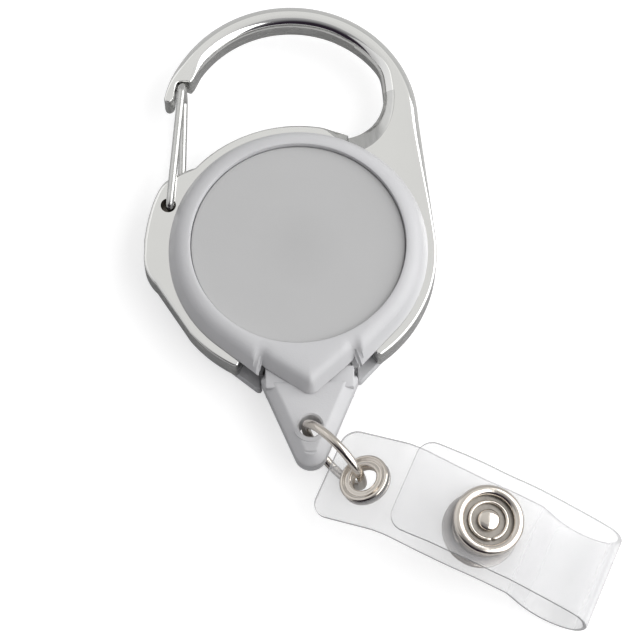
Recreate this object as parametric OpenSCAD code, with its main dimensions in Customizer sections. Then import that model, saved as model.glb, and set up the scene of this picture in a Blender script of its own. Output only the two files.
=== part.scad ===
// Retractable badge reel with a carabiner frame, lying on its back.
// Origin: reel axis at the back face of the case. +Y points to the carabiner loop, +Z out of the label.

/* [Case] */
// Diameter of the round front cover
case_d = 32; // [31:0.5:34]
// Diameter of the label recess
label_d = 26.5; // [24:0.5:27]
// Thickness of the back cover
back_t = 2.7; // [2.5:0.1:3.2]
// Height of the front cover above the carabiner frame
front_t = 2.7; // [2.5:0.1:3.2]
// Inside diameter of the spool chamber
chamber_d = 27.2; // [27:0.1:27.6]

/* [Carabiner frame] */
// Thickness of the cast frame
frame_t = 3.5; // [3.2:0.1:4]
// Outside radius of the frame around the reel
frame_r = 17.1; // [16.8:0.1:17.6]
// Outside radius of the carabiner loop
loop_r = 16.15; // [15.8:0.05:16.5]
// Width of the loop band
band_w = 2.7; // [2.4:0.1:3.2]
// Distance from the reel axis to the loop centre
loop_y = 18; // [17.5:0.1:18.6]
// Half angle of the frame's open side at the cord end
arm_gap = 30.5; // [28:0.5:33]

/* [Gate] */
// Diameter of the gate wire
gate_d = 0.95; // [0.8:0.05:1.1]
// Diameter of the two holes that hold the gate's feet
gate_hole_d = 1.9; // [1.8:0.05:2.1]

/* [Spool and cord] */
// Diameter of the cord
cord_d = 0.7; // [0.6:0.05:0.8]
// Radius of the spool's drum
drum_r = 10.4; // [10:0.1:10.6]
// Layers of cord on the drum
cord_layers = 3; // [2:1:3]
// Turns of cord in each layer
cord_turns = 4; // [3:1:4]

/* [Cord end] */
// Thickness of the cord end
tip_t = 4.1; // [3.8:0.1:4.3]
// Distance from the reel axis to the ring hole
tip_hole_y = 23.1; // [22.8:0.1:23.4]
// Diameter of the ring hole
tip_hole_d = 2.8; // [2.8:0.1:3]

/* [Ring] */
// Middle diameter of the jump ring
ring_d = 9.8; // [9.6:0.1:10]
// Diameter of the ring's wire
ring_wire = 1.1; // [1:0.05:1.2]

/* [Strap] */
// Width of the vinyl strap
strap_w = 11.7; // [11:0.1:12.4]
// Thickness of the vinyl
strap_t = 0.5; // [0.4:0.05:0.6]
// Turn of the strap from the X axis
strap_turn = -28; // [-32:1:-24]

/* [Snap and eyelet] */
// Diameter of the snap's rolled rim
snap_d = 8.5; // [8:0.1:9]
// Diameter of the eyelet's flange
eyelet_d = 6.2; // [5.8:0.1:6.6]

/* [Hidden] */
$fn = 96;
wire_fn = 32;

chrome = [0.80, 0.80, 0.78];
case_grey = [0.80, 0.80, 0.81];
label_grey = [0.74, 0.74, 0.74];
nickel = [0.72, 0.68, 0.63];
steel = [0.62, 0.63, 0.66];
vinyl = [0.88, 0.88, 0.90, 0.45];
cord_white = [0.90, 0.90, 0.88];

// Heights of the stack
gap = 0.05;
frame_z0 = back_t;
frame_z1 = back_t + frame_t;
case_top = frame_z1 + front_t;
mid_z = (frame_z0 + frame_z1) / 2;
wall_r = case_d / 2;
chamber_r = chamber_d / 2;
skirt_r = chamber_r + 0.6;
ring_opening_r = skirt_r + 0.2;

// Case outline
tangent_a = 43.2;
beak_x = 5.2;
beak_y = 15.5;
beak_tip = 19.2;
notch_x = 6.1;
floor_t = 1.2;
label_floor = case_top - 1.1;
roof_z = label_floor - 0.8;

// Room in the two covers for the docked cord end
dock_far_y = 20.1;
front_dock_y = 14.8;
rear_dock_y = 14.7;

// Lip of the back cover that shows between the arms of the frame
lip = 0.4;
lip_x = 9.2;

// Pegs that hold the two covers and the frame together
peg_r = 0.6;
peg_ring_r = 15.3;
peg_angles = [15, 90, 160, 215, 325];

// Loop and nose of the frame
loop_x = 0.4;
loop_in_r = loop_r - band_w;
shoulder = [6.9, loop_y + 2.9];
shoulder_r = 5.6;

// Gate feet: the front one and the back one stand apart, so that the wire springs shut
front_foot = [-15.6, 7.4];
back_foot = [-13.8, 9.7];
gate_top = [-12.75, loop_y + 5.65];
gate_front_z = frame_z1 + gate_d / 2 + 0.15;
gate_back_z = frame_z0 - gate_d / 2 - 0.15;
foot_len = 1.4;
gate_hole_t = 1.6;

// Spool
flange_r = chamber_r - 0.4;
flange_t = 0.7;
winding_w = cord_turns * cord_d + 0.1;
spool_z0 = mid_z - winding_w / 2 - flange_t;
spool_z1 = mid_z + winding_w / 2 + flange_t;
drum_wall = 0.8;
axle_r = 1.5;
hub_r = 2.4;
spring_turns = 9;
spring_t = 0.18;

// Cord end, seen from the front
tip_turn = -4;
shoulder_x = 5.9;
shoulder_y = 17.2;
shoulder_rise = 0.3;
tip_shoulder_r = 0.6;
prong_x = 3.9;
prong_y = 15.3;
prong_w = 3;
prong_t = 1.95;
tip_rim = 0.7;
tip_bevel = 0.55;
knot_y = 20.5;
knot_d = 1.7;
tip_end_r = 2;
tip_end_y = 25.9;
tip_z0 = mid_z - tip_t / 2;
tip_z1 = mid_z + tip_t / 2;

// Route of the cord from the spool's outer layer to the knot in the cord end
lead_path = [
    [8.6, -9.7], [6.7, -11.3], [4.6, -12.9], [2.6, -14.3], [1.3, -15], [0.5, -15.5],
    [0.12, -16.1], [0.04, -16.8], [-0.02, -17.4], [-0.08, -18.4], [-0.16, -19.5]
];

// Ring: it stands upright through the cord end's hole and the eyelet
ring_hole = [0, -shoulder_y] + (tip_hole_y - shoulder_y) * [sin(tip_turn), -cos(tip_turn)];
ring_turn = -51;
ring_reach = 4.45;
ring_side = 0.33;
ring_z = ring_d / 2 + ring_wire / 2 + 0.05;

// Strap: centre lines of the two leaves, as [distance from the eyelet, height]
eyelet_xy = [5.4, -30.5];
lower_line = [
    [-4.6, 4.7], [-3, 5.17], [0.1, 6.55], [3, 7.84], [4.2, 8.1], [5.5, 8.05], [8, 7.4], [10.4, 6.77],
    [19.8, 5.12], [21.2, 4.3], [22.9, 2.3], [25, 0.8], [27.3, 0.35], [29.2, 0.9], [30.4, 2.0], [30.7, 2.9]
];
flap_line = [
    [30.7, 3.3], [30.2, 4.3], [28.8, 5.3], [26.6, 6.3], [24, 7.3], [21, 8.36],
    [19.6, 8.71], [11.5, 10.14], [9, 10.3], [4.9, 10.35]
];
eyelet_tilt = -24;
eyelet_at = [0.1, 6.55];
snap_tilt = 10;
snap_height = 3.5;
flap_at = [15.7, 9.4];
snap_at = flap_at - snap_height * [sin(snap_tilt), cos(snap_tilt)];
strap_corner = 2;
flap_shift = 0.6;

// ---- helpers ----

function arc(c, r, a0, a1, n) = [for (i = [0:n]) let (a = a0 + (a1 - a0) * i / n) c + r * [cos(a), sin(a)]];

function reversed(list) = [for (i = [len(list) - 1:-1:0]) list[i]];

// Points at a distance to the side of a line
function beside(line, d) = [
    for (i = [0:len(line) - 1])
        let (
            a = line[max(i - 1, 0)],
            b = line[min(i + 1, len(line) - 1)],
            t = (b - a) / norm(b - a)
        )
        line[i] + d * [-t[1], t[0]]
];

module tube(r_out, r_in, z0, z1) {
    translate([0, 0, z0])
        difference() {
            cylinder(r = r_out, h = z1 - z0);
            translate([0, 0, -1])
                cylinder(r = r_in, h = z1 - z0 + 2);
        }
}

// A straight piece of wire with a ball at its far end, a hair thicker than the wire
module wire(a, b, d) {
    v = b - a;
    length = norm(v);
    translate(a)
        rotate([0, acos(v[2] / length), atan2(v[1], v[0])])
            cylinder(d = d, h = length, $fn = wire_fn);
    translate(b)
        sphere(d = 1.06 * d, $fn = wire_fn);
}

// Teardrop outline of the covers, with a pointed beak over the cord end
module cover_outline(r, point) {
    left = arc([0, 0], r, -90 - tangent_a, -90 - tangent_a - 360 + 2 * tangent_a, 72);
    notch_y = (r - notch_x * sin(tangent_a)) / cos(tangent_a);
    polygon(concat(
        left,
        [[notch_x, -notch_y], [notch_x - 0.3, -beak_y + 0.6], [beak_x, -beak_y]],
        arc([0, -point + 1.4], 1.4, -45, -135, 8),
        [[-beak_x, -beak_y], [-notch_x + 0.3, -beak_y + 0.6], [-notch_x, -notch_y]]
    ));
}

// ---- case ----

module frame_outline() {
    arm = 90 - arm_gap;
    lobe = arc([-13.8, 0.5], 5.3, 170, 222, 8);
    polygon(concat(
        arc([0, 0], frame_r, -arm, -3, 24),
        arc([loop_x, loop_y], loop_r, 0, 165, 60),
        [[-15.1, loop_y + 3.8], [-14.6, loop_y + 3.55], [-14.0, loop_y + 3.9], [-13.45, loop_y + 6.3],
         [-12.2, loop_y + 6.4], [-11.75, loop_y + 6.1]],
        arc([loop_x, loop_y], loop_in_r, 151, 24, 48),
        arc(shoulder, shoulder_r, 10, -72, 16),
        arc([0, 0], frame_r, 61, 134, 32),
        [[-14.3, 11.6], [-15.7, 10.9], [-16.6, 9.9], [-17.6, 7.9], [-18.4, 5.4], [-18.9, 3.1]],
        lobe,
        arc([0, 0], frame_r, 214, 270 - arm_gap, 12),
        arc([0, 0], ring_opening_r, 270 - arm_gap, -arm, 96)
    ));
}

module carabiner_frame() {
    color(chrome)
        translate([0, 0, frame_z0])
            difference() {
                linear_extrude(frame_t)
                    frame_outline();
                translate([front_foot[0], front_foot[1], frame_t - gate_hole_t])
                    cylinder(d = gate_hole_d, h = gate_hole_t + 1);
                translate([back_foot[0], back_foot[1], -1])
                    cylinder(d = gate_hole_d, h = gate_hole_t + 1);
                for (a = peg_angles)
                    rotate(a)
                        translate([peg_ring_r, 0, -1])
                            cylinder(r = peg_r + 0.05, h = frame_t + 2);
            }
}

module gate_wire() {
    front = [front_foot[0] + 0.2, front_foot[1] - 0.2];
    back = [back_foot[0] - 0.2, back_foot[1] + 0.2];
    color(chrome) {
        wire([front[0], front[1], gate_front_z - foot_len], [front[0], front[1], gate_front_z], gate_d);
        wire([front[0], front[1], gate_front_z], [gate_top[0], gate_top[1], gate_front_z], gate_d);
        wire([gate_top[0], gate_top[1], gate_front_z], [gate_top[0], gate_top[1], gate_back_z], gate_d);
        wire([gate_top[0], gate_top[1], gate_back_z], [back[0], back[1], gate_back_z], gate_d);
        wire([back[0], back[1], gate_back_z], [back[0], back[1], gate_back_z + foot_len], gate_d);
    }
}

module front_cover() {
    color(case_grey)
        difference() {
            union() {
                translate([0, 0, frame_z1 + gap])
                    linear_extrude(1.2)
                        cover_outline(wall_r, beak_tip);
                translate([0, 0, frame_z1 + 1.2])
                    linear_extrude(0.8)
                        offset(r = -0.4)
                            cover_outline(wall_r, beak_tip);
                translate([0, 0, frame_z1 + 1.9])
                    linear_extrude(case_top - frame_z1 - 1.9)
                        offset(r = -1.2)
                            cover_outline(wall_r, beak_tip);
                tube(skirt_r, chamber_r, frame_z0 + gap, frame_z1 + 1);
            }
            translate([0, 0, frame_z0 - 1])
                cylinder(r = chamber_r, h = roof_z - frame_z0 + 1);
            translate([0, 0, label_floor])
                cylinder(d = label_d, h = 5);
            translate([0, 0, roof_z - 0.5])
                cylinder(r = axle_r + 0.1, h = 0.9);
            for (a = peg_angles)
                rotate(a)
                    translate([peg_ring_r, 0, frame_z1 - 1])
                        cylinder(r = peg_r + 0.05, h = 2.1);
            exit_slot();
            translate([-notch_x, -dock_far_y, frame_z0])
                cube([2 * notch_x, dock_far_y - front_dock_y, tip_z1 + 0.1 - frame_z0]);
        }
}

// Way out for the cord through the chamber wall
module exit_slot() {
    translate([-3, -17, mid_z - 1.2])
        cube([9, 6, 2.4]);
}

module label_disc() {
    color(label_grey)
        translate([0, 0, label_floor + 0.02])
            cylinder(d = label_d - 0.2, h = 0.4);
}

module rear_cover() {
    color(case_grey)
        difference() {
            union() {
                linear_extrude(back_t - gap)
                    cover_outline(wall_r, beak_tip);
                translate([0, 0, floor_t])
                    linear_extrude(back_t - gap - floor_t)
                        intersection() {
                            cover_outline(wall_r + lip, beak_tip);
                            translate([-lip_x, -20])
                                square([2 * lip_x, 6.5]);
                        }
                for (a = peg_angles)
                    rotate(a)
                        translate([peg_ring_r, 0, back_t - 0.5])
                            cylinder(r = peg_r, h = frame_t + 1.4);
            }
            translate([0, 0, floor_t])
                cylinder(r = chamber_r, h = back_t);
            translate([0, 0, 0.5])
                cylinder(r = axle_r, h = 2);
            translate([-notch_x, -dock_far_y, tip_z0 - 0.1])
                cube([2 * notch_x, dock_far_y - rear_dock_y, 10]);
        }
}

module spool_axle() {
    color(steel)
        translate([0, 0, 0.55])
            difference() {
                cylinder(r = axle_r - 0.02, h = roof_z - 0.3);
                translate([-0.2, -2, 1.6])
                    cube([0.4, 4, roof_z - 3.6]);
            }
}

module spring_washer() {
    color(steel)
        tube(4, axle_r + 0.15, floor_t + 0.05, floor_t + 0.35);
}

// ---- spool and cord ----

module mainspring() {
    inner = 1.9;
    outer = drum_r - drum_wall - 0.3;
    steps = spring_turns * 24;
    tail = [[0, 0.7], [0, 1.5]];
    turns = [
        for (i = [0:steps])
            let (r = inner + (outer - inner) * i / steps, a = 100 + 15 * i)
            r * [cos(a), sin(a)]
    ];
    spiral = concat(tail, turns);
    color(steel)
        translate([0, 0, spool_z0 + 0.3])
            linear_extrude(spool_z1 - spool_z0 - flange_t - 0.9)
                polygon(concat(beside(spiral, spring_t / 2), reversed(beside(spiral, -spring_t / 2))));
}

module spool() {
    color(cord_white) {
        tube(drum_r, drum_r - drum_wall, spool_z0, spool_z1);
        tube(flange_r, drum_r - drum_wall, spool_z0, spool_z0 + flange_t);
        tube(flange_r, axle_r + 0.05, spool_z1 - flange_t, spool_z1);
        tube(hub_r, axle_r + 0.05, spool_z1 - flange_t - 0.5, spool_z1);
    }
}

module cord_winding() {
    half = winding_w / 2 - 0.05;
    color(cord_white)
        rotate_extrude()
            for (k = [0:cord_turns - 1])
                translate([drum_r + 0.02, mid_z - half + k * cord_d])
                    square([cord_layers * cord_d, cord_d]);
}

// A tube of eight sides swept along points at one height
module cord_tube(line, z, d) {
    sides = 8;
    n = len(line);
    left = beside(line, 1);
    points = [
        for (i = [0:n - 1], k = [0:sides - 1])
            let (
                a = 360 * k / sides,
                side = left[i] - line[i],
                p = line[i] + d / 2 * cos(a) * side
            )
            [p[0], p[1], z + d / 2 * sin(a)]
    ];
    walls = [
        for (i = [0:n - 2], k = [0:sides - 1])
            let (j = (k + 1) % sides)
            [i * sides + k, i * sides + j, (i + 1) * sides + j, (i + 1) * sides + k]
    ];
    ends = [[for (k = [sides - 1:-1:0]) k], [for (k = [0:sides - 1]) (n - 1) * sides + k]];
    polyhedron(points, concat(walls, ends));
}

module cord_lead() {
    color(cord_white)
        cord_tube(lead_path, mid_z, cord_d);
}

module cord_knot() {
    color(cord_white)
        docked()
            translate([0, -knot_y, mid_z])
                sphere(d = knot_d, $fn = wire_fn);
}

// ---- cord end ----

// Sets the cord end as it hangs from the beak, turned a little about its shoulders
module docked() {
    translate([0, -shoulder_y, 0])
        rotate(tip_turn)
            translate([0, shoulder_y, 0])
                children();
}

module tip_outline(grow) {
    hull() {
        for (x = [-1, 1])
            translate([x * (shoulder_x - tip_shoulder_r), -shoulder_y + shoulder_rise])
                circle(r = tip_shoulder_r + grow);
        translate([0, -tip_end_y])
            circle(r = tip_end_r + grow);
    }
}

// Two prongs that reach up between the covers
module tip_prongs(z) {
    for (x = [-1, 1])
        translate([x * prong_x - prong_w / 2, -shoulder_y, z])
            cube([prong_w, shoulder_y - prong_y, prong_t]);
}

// Hollow for the knot, the cord's way in and the ring hole
module tip_hollow() {
    translate([0, -knot_y, mid_z])
        sphere(d = knot_d + 0.5, $fn = wire_fn);
    translate([0, -knot_y + 0.5, mid_z])
        rotate([-90, 0, 0])
            cylinder(d = cord_d + 0.3, h = 6);
    translate([0, -tip_hole_y, 0])
        cylinder(d = tip_hole_d, h = 10);
}

module tip_front_shell() {
    color(case_grey)
        docked()
            difference() {
                union() {
                    translate([0, 0, mid_z + 0.03])
                        linear_extrude(tip_rim - 0.03)
                            tip_outline(0);
                    translate([0, 0, mid_z + tip_rim])
                        linear_extrude(tip_z1 - mid_z - tip_rim)
                            tip_outline(-tip_bevel);
                    tip_prongs(mid_z + 0.03);
                }
                tip_hollow();
            }
}

module tip_rear_shell() {
    color(case_grey)
        docked()
            difference() {
                union() {
                    translate([0, 0, mid_z - tip_rim])
                        linear_extrude(tip_rim)
                            tip_outline(0);
                    translate([0, 0, tip_z0])
                        linear_extrude(mid_z - tip_rim - tip_z0)
                            tip_outline(-tip_bevel);
                    tip_prongs(mid_z - prong_t);
                }
                tip_hollow();
            }
}

module jump_ring() {
    color(nickel)
        translate([ring_hole[0], ring_hole[1], ring_z])
            rotate(ring_turn)
                translate([ring_reach, -ring_side, 0])
                    rotate([90, 0, 0])
                        rotate_extrude()
                            translate([ring_d / 2, 0])
                                circle(d = ring_wire, $fn = wire_fn);
}

// ---- strap ----

// Puts its children in the strap's own frame: X along the strap from the eyelet, Z up
module on_strap() {
    translate([eyelet_xy[0], eyelet_xy[1], 0])
        rotate(strap_turn)
            children();
}

// Stands its children on a leaf at a place [distance, height] and a slope
module on_leaf(place, tilt) {
    on_strap()
        translate([place[0], 0, place[1]])
            rotate([0, tilt, 0])
                children();
}

// A strip of vinyl that follows a line of [distance, height], with round corners at one end
module leaf(line, shift) {
    end_x = min([for (p = line) p[0]]);
    intersection() {
        translate([0, strap_w / 2 + shift, 0])
            rotate([90, 0, 0])
                linear_extrude(strap_w)
                    polygon(concat(beside(line, strap_t / 2), reversed(beside(line, -strap_t / 2))));
        translate([0, 0, -1])
            linear_extrude(20)
                union() {
                    for (y = [-1, 1])
                        translate([end_x + strap_corner - 0.2, shift + y * (strap_w / 2 - strap_corner)])
                            circle(r = strap_corner);
                    translate([end_x + strap_corner - 0.2, shift - strap_w / 2])
                        square([45, strap_w]);
                    translate([end_x - 0.2, shift - strap_w / 2 + strap_corner])
                        square([3, strap_w - 2 * strap_corner]);
                }
    }
}

module strap_main() {
    color(vinyl)
        difference() {
            on_strap()
                leaf(lower_line, 0);
            on_leaf(eyelet_at, eyelet_tilt)
                cylinder(r = 2, h = 3, center = true);
            on_leaf(snap_at, snap_tilt)
                cylinder(r = 1.3, h = 3, center = true);
        }
}

module strap_flap() {
    color(vinyl)
        difference() {
            on_strap()
                leaf(flap_line, flap_shift);
            on_leaf(flap_at, snap_tilt)
                cylinder(r = 2.9, h = 3, center = true);
        }
}

module eyelet() {
    color(nickel)
        on_leaf(eyelet_at, eyelet_tilt) {
            tube(1.95, 1.6, -0.6, 0.5);
            translate([0, 0, 0.3])
                tube(eyelet_d / 2, 1.6, 0, 0.35);
        }
}

module eyelet_washer() {
    color(nickel)
        on_leaf(eyelet_at, eyelet_tilt)
            tube(eyelet_d / 2, 2, -0.65, -0.3);
}

module snap_stud() {
    color(nickel)
        on_leaf(snap_at, snap_tilt) {
            tube(3.6, 1.3, 0.3, 0.8);
            translate([0, 0, 0.75])
                cylinder(r = 1.35, h = 1.5);
        }
}

module snap_stud_cap() {
    color(nickel)
        on_leaf(snap_at, snap_tilt) {
            translate([0, 0, -0.85])
                cylinder(d = snap_d + 0.8, h = 0.5);
            translate([0, 0, -0.4])
                cylinder(r = 1.2, h = 1.1);
        }
}

module snap_socket() {
    color(nickel)
        on_leaf(flap_at, snap_tilt)
            tube(3.9, 1.7, -2.3, -0.35);
}

module snap_spring_ring() {
    color(steel)
        on_leaf(flap_at, snap_tilt)
            tube(2.8, 2.1, -0.3, 0.35);
}

module snap_socket_post() {
    color(nickel)
        on_leaf(flap_at, snap_tilt) {
            translate([0, 0, 0.4])
                tube(snap_d / 2, 2.9, 0, 1);
            translate([0, 0, 0.4])
                cylinder(r = 3, h = 0.3);
            translate([0, 0, 0.6])
                cylinder(r = 1.4, h = 0.7);
        }
}

carabiner_frame();
gate_wire();
front_cover();
label_disc();
rear_cover();
spool_axle();
spring_washer();
mainspring();
spool();
cord_winding();
cord_lead();
cord_knot();
tip_front_shell();
tip_rear_shell();
jump_ring();
strap_main();
eyelet();
eyelet_washer();
snap_stud();
snap_stud_cap();
strap_flap();
snap_socket();
snap_spring_ring();
snap_socket_post();
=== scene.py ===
"""A retractable badge reel with a carabiner frame: the looks of its pieces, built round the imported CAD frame.

Lengths inside the functions are in millimetres and become metres where a mesh is made.
"""

import math

import bmesh
import bpy
import numpy as np
from bpy.props import FloatProperty, FloatVectorProperty, PointerProperty
from mathutils import Matrix, Vector


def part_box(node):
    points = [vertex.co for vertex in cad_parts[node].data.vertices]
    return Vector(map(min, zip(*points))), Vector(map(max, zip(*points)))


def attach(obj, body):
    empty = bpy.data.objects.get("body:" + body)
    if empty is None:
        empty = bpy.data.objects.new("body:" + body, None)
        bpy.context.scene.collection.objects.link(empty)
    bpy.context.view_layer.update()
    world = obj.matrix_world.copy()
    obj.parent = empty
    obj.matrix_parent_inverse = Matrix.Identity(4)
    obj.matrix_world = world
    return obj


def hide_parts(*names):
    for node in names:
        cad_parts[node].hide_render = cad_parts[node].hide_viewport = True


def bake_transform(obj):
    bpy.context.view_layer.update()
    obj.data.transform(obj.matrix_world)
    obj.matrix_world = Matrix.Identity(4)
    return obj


bl_info = {
    "name": "Badge Reel",
    "version": (1, 0, 0),
    "blender": (4, 5, 0),
    "location": "View3D > Sidebar > Badge Reel",
    "description": "Builds a retractable badge reel with a carabiner frame and a snap strap",
    "category": "Add Mesh",
}

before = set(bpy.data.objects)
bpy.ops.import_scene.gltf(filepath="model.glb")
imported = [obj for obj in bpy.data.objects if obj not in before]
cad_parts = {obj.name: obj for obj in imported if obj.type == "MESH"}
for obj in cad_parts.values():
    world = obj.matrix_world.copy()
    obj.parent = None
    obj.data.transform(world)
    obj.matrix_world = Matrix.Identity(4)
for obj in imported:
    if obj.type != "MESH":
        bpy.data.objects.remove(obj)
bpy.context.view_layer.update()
MM = 0.001
SMOOTH_ANGLE = math.radians(38)


# ---------------------------------------------------------------- settings


def cad_size(node, axis):
    """Size of a CAD node along an axis, in metres."""
    low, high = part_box(node)
    return high[axis] - low[axis]


def length(name, description, millimetres):
    """A length property whose default is given in millimetres."""
    return FloatProperty(
        name=name,
        description=description,
        default=millimetres * MM,
        unit="LENGTH",
        subtype="DISTANCE",
    )


def colour(name, description, default):
    """A colour property."""
    return FloatVectorProperty(
        name=name,
        description=description,
        default=default,
        size=3,
        min=0.0,
        max=1.0,
        subtype="COLOR",
    )


def angle(name, description, degrees):
    """An angle property whose default is given in degrees."""
    return FloatProperty(name=name, description=description, default=math.radians(degrees), subtype="ANGLE")


def power(name, description, watts):
    """A light's power property."""
    return FloatProperty(name=name, description=description, default=watts, unit="POWER")


class CaseSettings(bpy.types.PropertyGroup):
    """Sizes of the round plastic case."""

    diameter: length("Diameter", "Diameter of the round covers", cad_size("front_cover", 0) / MM)
    label_diameter: length("Label diameter", "Diameter of the recess for the label", 26.5)
    rim_width: length("Rim width", "Width of the domed ring round the label", 2.4)
    wall_lean: length("Wall lean", "How far the outer wall leans in up to the dome", 0.7)
    label_depth: length("Label depth", "Depth of the recess for the label", 1.1)


class CarabinerSettings(bpy.types.PropertyGroup):
    """Sizes of the cast frame and its gate."""

    loop_radius: length("Loop radius", "Outside radius of the open loop", 16.15)
    band_width: length("Band width", "Width of the loop's band", 2.7)
    edge_radius: length("Edge radius", "Rounding of the loop's outer edges", 1.0)
    inner_radius: length("Inner edge radius", "Rounding of the loop's inner edges", 1.3)
    chamfer_width: length("Chamfer width", "Width of the slope where the loop meets the reel", 2.7)
    wire_diameter: length("Gate wire", "Diameter of the gate's wire", 1.0)


class CordSettings(bpy.types.PropertyGroup):
    """Sizes of the cord and the cord end."""

    cord_diameter: length("Cord diameter", "Diameter of the cord", 0.7)
    bevel_width: length("Bevel width", "Width of the cord end's bevelled sides", 1.15)
    hole_diameter: length("Hole diameter", "Diameter of the cord end's ring hole", 2.8)
    ring_wire: length("Ring wire", "Diameter of the jump ring's wire", 1.1)


class StrapSettings(bpy.types.PropertyGroup):
    """Sizes of the vinyl strap and the metal on it."""

    width: length("Width", "Width of the strap", 11.7)
    thickness: length("Thickness", "Thickness of the vinyl", 0.5)
    corner: length("Corner radius", "Rounding of the strap's corners", 2.0)
    snap_diameter: length("Snap diameter", "Diameter of the snap's rolled rim", 8.5)
    eyelet_diameter: length("Eyelet diameter", "Diameter of the eyelet's flange", 6.2)


class FinishSettings(bpy.types.PropertyGroup):
    """Colours of the finishes."""

    chrome: colour("Chrome", "Plating of the frame and the gate", (0.86, 0.86, 0.84))
    case: colour("Case plastic", "Moulded plastic of the covers and the cord end", (0.56, 0.56, 0.57))
    label: colour("Label", "Plain label disc", (0.475, 0.475, 0.475))
    nickel: colour("Nickel", "Plating of the ring, the eyelet and the snap", (0.70, 0.65, 0.59))
    steel: colour("Steel", "Axle, washer and springs", (0.62, 0.63, 0.66))
    vinyl: colour("Vinyl", "Clear strap", (0.93, 0.93, 0.94))
    cord: colour("Cord", "Braided cord", (0.82, 0.82, 0.80))
    spool: colour("Spool plastic", "Plastic of the spool", (0.80, 0.80, 0.78))


class StageSettings(bpy.types.PropertyGroup):
    """Camera, floor and lights."""

    azimuth: angle("Azimuth", "Camera's turn round the reel", -4.8)
    elevation: angle("Elevation", "Camera's height over the floor", 68.2)
    distance: length("Distance", "Distance from the camera to what it looks at", 350.9)
    lens: FloatProperty(name="Lens", description="Focal length", default=160.65, unit="CAMERA")
    key_power: power("Key light", "Power of the light on the right", 8.6)
    fill_power: power("Fill light", "Power of the light on the left", 1.3)
    top_power: power("Top light", "Power of the light overhead", 0.43)


class BadgeReelSettings(bpy.types.PropertyGroup):
    """All settings of the badge reel."""

    case: PointerProperty(type=CaseSettings)
    carabiner: PointerProperty(type=CarabinerSettings)
    cord: PointerProperty(type=CordSettings)
    strap: PointerProperty(type=StrapSettings)
    finish: PointerProperty(type=FinishSettings)
    stage: PointerProperty(type=StageSettings)


def settings():
    """The scene's badge reel settings."""
    return bpy.context.scene.badge_reel


# ---------------------------------------------------------------- outlines


def arc(centre, radius, start, end, count):
    """Points along an arc, both ends included. The angles are in degrees."""
    turns = [math.radians(start + (end - start) * i / count) for i in range(count + 1)]
    return [(centre[0] + radius * math.cos(t), centre[1] + radius * math.sin(t)) for t in turns]


def bent(a, corner, b, count=4):
    """Points that round a corner between a and b."""
    points = []
    for i in range(count + 1):
        t = i / count
        points.append(
            tuple((1 - t) ** 2 * a[k] + 2 * t * (1 - t) * corner[k] + t * t * b[k] for k in range(len(a)))
        )
    return points


def rounded(corners, radius, closed=True, count=4):
    """A line with each corner replaced by a bend that starts and ends radius from it."""
    corners = [Vector(c) for c in corners]
    last = len(corners) - 1
    points = []
    for i, corner in enumerate(corners):
        if not closed and i in (0, last):
            points.append(tuple(corner))
            continue
        before = corners[i - 1] - corner
        after = corners[(i + 1) % len(corners)] - corner
        a = corner + before.normalized() * min(radius, before.length * 0.45)
        b = corner + after.normalized() * min(radius, after.length * 0.45)
        points += bent(a, corner, b, count)
    return points


def spaced(points, step, closed=True):
    """The same line with its long edges divided, so that none is longer than step."""
    points = [Vector(p) for p in points]
    result = []
    pairs = list(zip(points, points[1:] + points[:1]))
    for a, b in pairs if closed else pairs[:-1]:
        count = max(1, math.ceil((b - a).length / step))
        result += [tuple(a.lerp(b, i / count)) for i in range(count)]
    if not closed:
        result.append(tuple(points[-1]))
    return result


def relaxed(points, passes):
    """An open line drawn smooth between its two ends."""
    line = np.array(points, float)
    for _ in range(passes):
        line[1:-1] = (line[:-2] + 2 * line[1:-1] + line[2:]) / 4
    return [tuple(p) for p in line]


def spline(points, step):
    """A smooth open line through the points, with a point about every step."""
    p = [np.array(q, float) for q in points]
    p = [2 * p[0] - p[1]] + p + [2 * p[-1] - p[-2]]
    dense = []
    for i in range(1, len(p) - 2):
        for t in np.linspace(0, 1, 24, endpoint=False):
            a = 2 * p[i]
            b = (p[i + 1] - p[i - 1]) * t
            c = (2 * p[i - 1] - 5 * p[i] + 4 * p[i + 1] - p[i + 2]) * t * t
            d = (3 * p[i] - p[i - 1] - 3 * p[i + 1] + p[i + 2]) * t**3
            dense.append((a + b + c + d) / 2)
    dense = np.array(dense + [p[-2]])
    run = np.concatenate([[0], np.cumsum(np.linalg.norm(np.diff(dense, axis=0), axis=1))])
    places = np.linspace(0, run[-1], max(2, round(run[-1] / step)) + 1)
    return np.stack([np.interp(places, run, dense[:, k]) for k in range(dense.shape[1])], 1)


def edge_distance(places, outline):
    """Distance from each place to the nearest edge of a closed outline."""
    a = np.array(outline, float)
    b = np.roll(a, -1, axis=0)
    edge = b - a
    square = (edge**2).sum(1)
    away = places[:, None, :] - a[None]
    t = np.clip((away * edge).sum(2) / square, 0, 1)
    return np.linalg.norm(away - t[..., None] * edge, axis=2).min(1)


def inner_lines(outline, targets, distances):
    """Lines inside an outline, each at one distance from its edge, met by rays from the outline's points
    to their targets."""
    outline = np.array(outline, float)
    targets = np.array(targets, float)
    share = np.linspace(0, 1, 64)
    lines = np.zeros((len(distances), len(outline), 2))
    for i, (start, end) in enumerate(zip(outline, targets)):
        ray = start + share[:, None] * (end - start)
        depth = np.maximum.accumulate(edge_distance(ray, outline))
        if depth[-1] < distances[-1]:
            depth *= distances[-1] / depth[-1]
        place = np.interp(distances, depth, share)
        lines[:, i] = start + place[:, None] * (end - start)
    return lines


# ---------------------------------------------------------------- meshes


def at_height(line, z):
    """A flat line of points lifted to a height, or to a height for each point."""
    line = np.array(line, float)
    return np.column_stack([line, np.full(len(line), z) if np.isscalar(z) else np.array(z)])


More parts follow.
